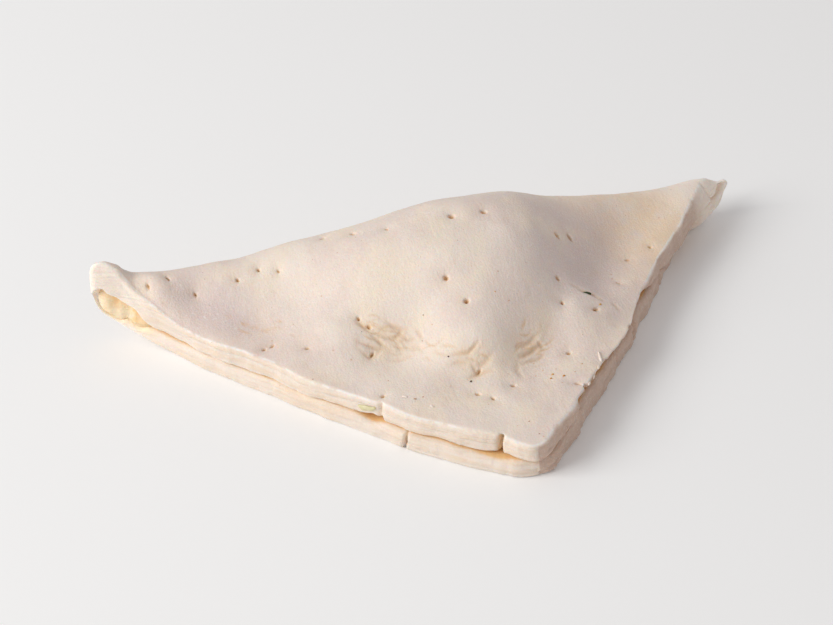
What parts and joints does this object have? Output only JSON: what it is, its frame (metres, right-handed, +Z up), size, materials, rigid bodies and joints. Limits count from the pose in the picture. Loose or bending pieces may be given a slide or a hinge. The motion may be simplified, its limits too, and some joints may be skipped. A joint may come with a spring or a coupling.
{
  "type": "chicken puff",
  "caption": "Raw triangular puff pastry turnover, folded corner to corner over a chicken filling, pricked on top, with two cut layered edges.",
  "frame": {"origin": "middle of the bounding box in plan, on the surface that the pastry rests on", "axes": "+X along the folded side towards its lower right tip, +Y from the front corner towards the folded side, +Z up"},
  "size_m": [0.152, 0.0738, 0.0252],
  "materials": {
    "raw_dough": "matte, floury"
  },
  "bodies": {
    "root": {"pastry": "raw_dough"}
  },
  "joints": []
}
